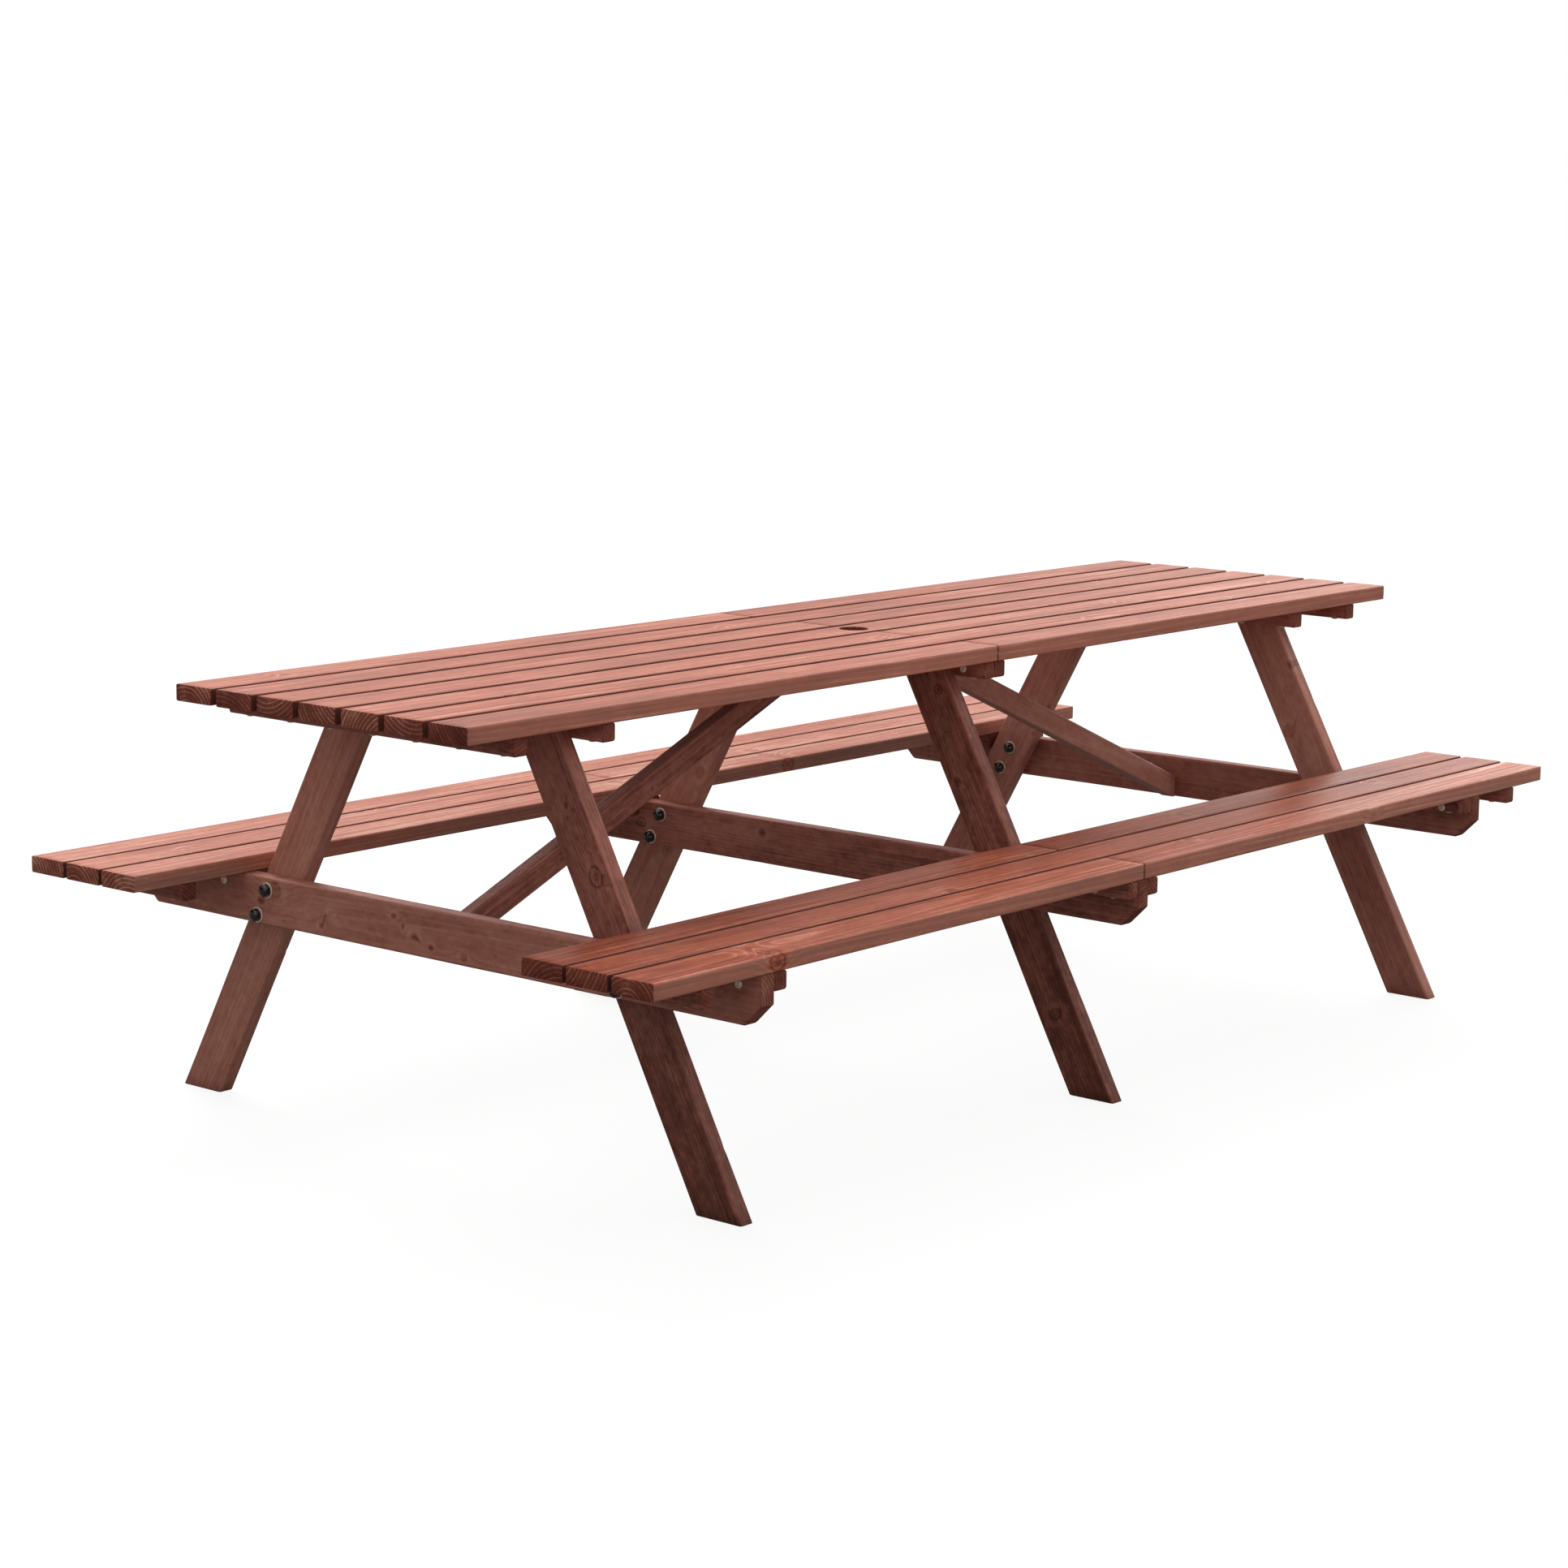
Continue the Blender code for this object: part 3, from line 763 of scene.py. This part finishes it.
def build_legs():
    tilt = math.atan(LEG_SLOPE)
    for name in FRAMES:
        for end_name, side in (("front", -1), ("back", 1)):
            node = f"{name}_{end_name}_leg"
            low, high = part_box(node)
            width = (high.y - low.y - LEG_SLOPE * high.z) * math.cos(tilt)
            middle = (abs(low.y) if side < 0 else high.y) - width / math.cos(tilt) / 2
            board(node, ((low.x + high.x) / 2, side * middle, 0.0),
                  (0, -side * math.sin(tilt), math.cos(tilt)),
                  (0, side * math.cos(tilt), math.sin(tilt)),
                  width / 2, (high.x - low.x) / 2,
                  lambda v: -v * math.tan(tilt),
                  lambda v, top=high.z: (top - v * math.sin(tilt)) / math.cos(tilt),
                  "stained_frame_wood", inner=LEG_INNER)


def build_braces():
    tilt = math.atan(BRACE_SLOPE)
    sin, cos = math.sin(tilt), math.cos(tilt)
    for node, side in (("left_brace", -1), ("right_brace", 1)):
        low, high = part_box(node)
        far, roof, floor = max(abs(low.x), abs(high.x)), high.z, low.z
        # s runs down from the point where the upper edges would meet
        half = BRACE_DEPTH / 2

        def start(v):
            return (BRACE_RIDGE - roof + (v - half) * cos) / sin

        def end(v):
            return min((far - (v - half) * sin) / cos,
                       (BRACE_RIDGE - floor + (v - half) * cos) / sin)

        board(node, (-side * half * sin, 0.0, BRACE_RIDGE - half * cos),
              (side * cos, 0, -sin), (side * sin, 0, cos), half,
              (high.y - low.y) / 2, start, end, "stained_frame_wood")


# ---------------------------------------------------------------- hardware

def facing(x, y, z, direction):
    """A place whose Z axis points along a direction."""
    turn = Vector(direction).to_track_quat("Z", "Y").to_matrix().to_4x4()
    return Matrix.Translation((x, y, z)) @ turn


def in_metres(profile, lift=0.0):
    return [(radius / 1000, height / 1000 + lift, shape) for radius, height, shape in profile]


def build_bolts():
    for name in FRAMES:
        washers = bmesh.new()
        for end_name, side in (("front", -1), ("back", 1)):
            for level, z in BOLT_RISES.items():
                node = f"{name}_{end_name}_{level}_bolt"
                low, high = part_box(node)
                y = (low.y + high.y) / 2
                way = -1 if name == "left" else 1
                members = [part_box(f"{name}_{part}")
                           for part in ("crossbeam", f"{end_name}_leg")]
                outer = max(b[1].x for b in members), min(b[0].x for b in members)
                head_x, nut_x = (outer if way < 0 else outer[::-1])
                head = facing(head_x, y, z, (-way, 0, 0))
                nut = facing(nut_x, y, z, (way, 0, 0))
                bm = bmesh.new()
                lathe(bm, in_metres(DOME, HEAD_LIFT), head, 36)
                lathe(bm, in_metres(NUT_CAP, NUT_LIFT), nut, 36)
                shank = [(BOLT_RADIUS, -SHANK_OVERLAP, 0),
                         (BOLT_RADIUS, abs(nut_x - head_x) + SHANK_OVERLAP, 0)]
                lathe(bm, shank, facing(head_x, y, z, (way, 0, 0)), 16)
                piece(node, finished(mesh_from(node, bm), 28), BLACK, "black_steel", [node])
                for seat in (head, nut):
                    lathe(washers, in_metres(WASHER, WASHER_LIFT), seat, 36)
        label = f"{name}_bolt_washers"
        piece(label, finished(mesh_from(label, washers), 40), ZINC, "zinc_steel")


def screw_group(label, places):
    bm = bmesh.new()
    for (x, y, z), direction in places:
        lathe(bm, in_metres(SCREW), facing(x, y, z, direction), 24)
    return piece(label, finished(mesh_from(label, bm), 40), ZINC, "zinc_steel")


def rows_across(prefix):
    """The middles in Y of the rows of slats whose names start with prefix."""
    return sorted({round(sum(b.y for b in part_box(n)) / 2, 5)
                   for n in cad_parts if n.startswith(prefix)})


def build_screws():
    """Screws up through the cleats and battens, and those that show on the frames."""
    places = []
    for name in STICKS:
        low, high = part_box(f"{name}_cleat")
        for y in rows_across("top_slat_"):
            if not (name.startswith("middle") and abs(y) < 0.01):  # the umbrella hole
                places.append((((low.x + high.x) / 2, y, low.z), (0, 0, -1)))
    screw_group("cleat_screws", places)
    for bench in ("front", "back"):
        places = []
        for name in STICKS:
            low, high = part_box(f"{bench}_{name}_batten")
            for y in rows_across(f"{bench}_seat_slat"):
                places.append((((low.x + high.x) / 2, y, low.z), (0, 0, -1)))
        screw_group(f"{bench}_batten_screws", places)
    screw_group("frame_screws", [
        ((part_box(node)[0].x, side * y, z), (-1, 0, 0))
        for side in (-1, 1) for node, (z, across) in FRAME_SCREWS.items() for y in across])


# ---------------------------------------------------------------- stage

def build_floor():
    """White from above and clear from below, and dim where the table's light comes off it."""
    bm = bmesh.new()
    bmesh.ops.create_grid(bm, x_segments=1, y_segments=1, size=FLOOR_REACH)
    mesh = mesh_from("floor", bm)
    floor = bpy.data.objects.new("floor", mesh)
    floor.location.z = -FLOOR_DROP
    bpy.context.scene.collection.objects.link(floor)
    n = Nodes(bpy.data.materials.new("floor"))
    output = n.tree.nodes["Material Output"]
    seen = n.node("ShaderNodeLightPath").outputs["Is Camera Ray"]
    back = n.node("ShaderNodeNewGeometry").outputs["Backfacing"]
    glow = n.node("ShaderNodeEmission", (1, 1, 1, 1), FLOOR_GLOW).outputs[0]
    lit = n.node("ShaderNodeBsdfDiffuse", (FLOOR_LIT, FLOOR_LIT, FLOOR_LIT, 1)).outputs[0]
    dim = n.node("ShaderNodeBsdfDiffuse", (FLOOR_DIM, FLOOR_DIM * 0.95, FLOOR_DIM * 0.9, 1))
    shown = n.node("ShaderNodeAddShader", glow, lit).outputs[0]
    surface = n.node("ShaderNodeMixShader", seen, dim.outputs[0], shown).outputs[0]
    clear = n.node("ShaderNodeBsdfTransparent").outputs[0]
    surface = n.node("ShaderNodeMixShader", back, surface, clear).outputs[0]
    n.feed(output.inputs["Surface"], surface)
    mesh.materials.append(n.owner)


def build_world():
    """White to the camera. The table sees a soft sky with bright panels in it, which its
    top reflects at a grazing angle."""
    world = bpy.data.worlds.new("studio")
    bpy.context.scene.world = world
    n = Nodes(world)
    n.tree.nodes.clear()
    place = n.node("ShaderNodeTexCoord").outputs["Generated"]

    def toward(direction):
        made = n.node("ShaderNodeVectorMath", place, direction, operation="DOT_PRODUCT")
        return made.outputs["Value"]

    above = n.math("MAXIMUM", n.split(place)[2], 0.0)
    sky = n.math("MULTIPLY_ADD", above, SKY_ABOVE, SKY_LEVEL)
    panels = [n.times(n.step(toward(direction), *reach), strength)
              for direction, reach, strength in PANELS]
    level = n.add(sky, toward(SKY_SIDE), *panels)
    soft = n.node("ShaderNodeBackground", (*SKY_COLOUR, 1), level).outputs[0]
    white = n.node("ShaderNodeBackground", (1, 1, 1, 1)).outputs[0]
    seen = n.node("ShaderNodeLightPath").outputs["Is Camera Ray"]
    shown = n.node("ShaderNodeMixShader", seen, soft, white).outputs[0]
    n.feed(n.node("ShaderNodeOutputWorld").inputs["Surface"], shown)


def build_key():
    """A very large soft light, high up and a little behind the table."""
    light = bpy.data.lights.new("key", "SUN")
    light.energy, light.angle = KEY_POWER, math.radians(KEY_ANGLE)
    made = bpy.data.objects.new("key", light)
    made.rotation_euler = Vector(KEY_FROM).to_track_quat("Z", "Y").to_euler()
    made.visible_glossy = False
    bpy.context.scene.collection.objects.link(made)


def build_camera():
    lens = bpy.data.cameras.new("camera")
    lens.lens, lens.sensor_width = CAMERA_LENS, CAMERA_SENSOR
    camera = bpy.data.objects.new("camera", lens)
    yaw, pitch, roll = (math.radians(a) for a in (CAMERA_YAW, CAMERA_PITCH, CAMERA_ROLL))
    aim = Matrix.Rotation(-yaw, 4, "Z") @ Matrix.Rotation(math.pi / 2 - pitch, 4, "X")
    camera.matrix_world = (Matrix.Translation(CAMERA_AT) @ aim
                           @ Matrix.Rotation(roll, 4, "Z"))
    bpy.context.scene.collection.objects.link(camera)
    bpy.context.scene.camera = camera


build_slats()
build_sticks()
build_crossbeams()
build_legs()
build_braces()
build_bolts()
build_screws()
build_floor()
build_world()
build_key()
build_camera()
bpy.context.scene.view_settings.view_transform = "Standard"
